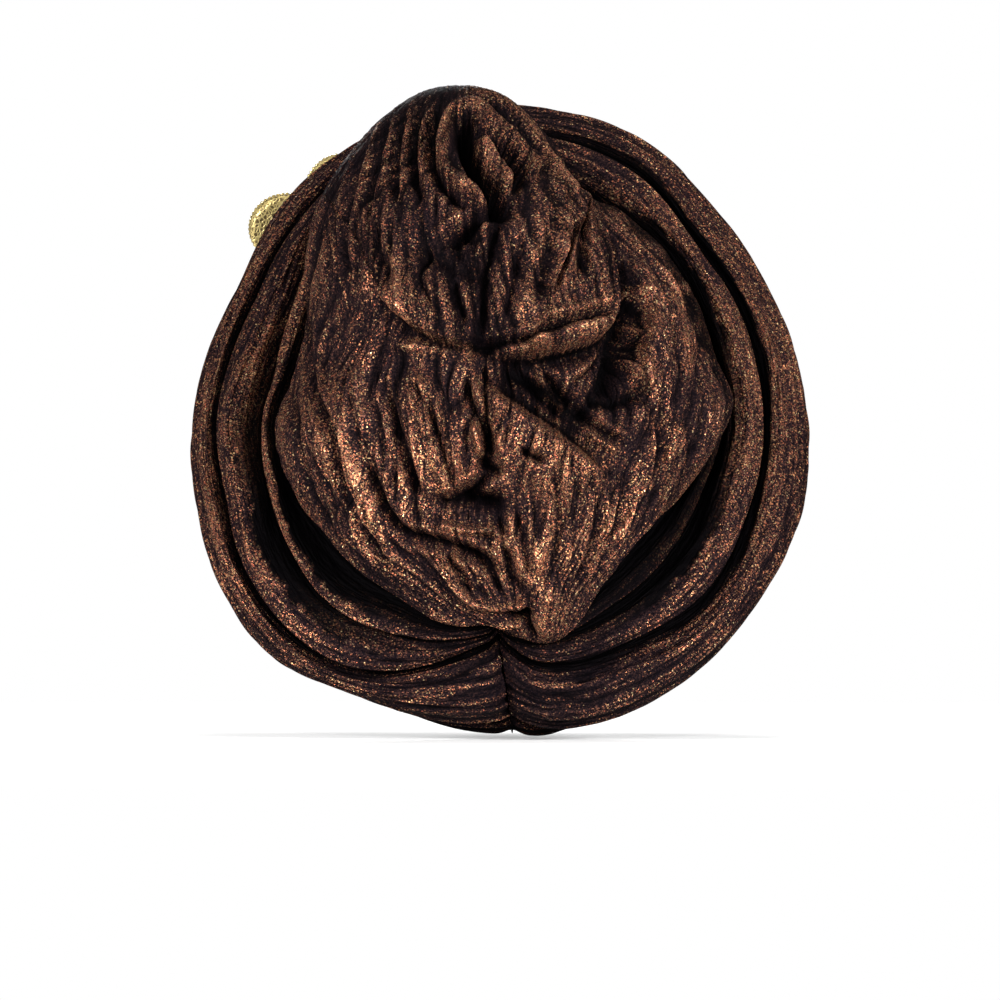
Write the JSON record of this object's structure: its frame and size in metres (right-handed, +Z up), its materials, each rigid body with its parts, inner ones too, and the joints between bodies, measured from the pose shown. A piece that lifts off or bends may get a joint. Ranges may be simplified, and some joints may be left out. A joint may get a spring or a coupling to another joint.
{
  "type": "tied gele head tie with a flower brooch",
  "caption": "Tied head wrap of crinkled metallic cloth: nested pleats fan round a gathered crown with a top knot, seamed at the nape, and a flower brooch on the front.",
  "frame": {"origin": "middle of the head at brow height, inside the head tie", "axes": "+Y the way the wearer faces, +Z up, +X towards the wearer's right hand, which is the right of the picture taken from behind"},
  "size_m": [0.3053, 0.2799, 0.3161],
  "materials": {
    "cloth": "crinkled brocade, near-black brown ground with copper and gold metallic threads",
    "gold": "pale gold, beaded"
  },
  "bodies": {
    "root": {"crown": "cloth", "inner_pleat": "cloth", "middle_pleat": "cloth", "outer_pleat": "cloth", "front_pleat": "cloth", "brow_band": "cloth", "brooch_petals": "gold", "brooch_middle": "gold"}
  },
  "joints": []
}
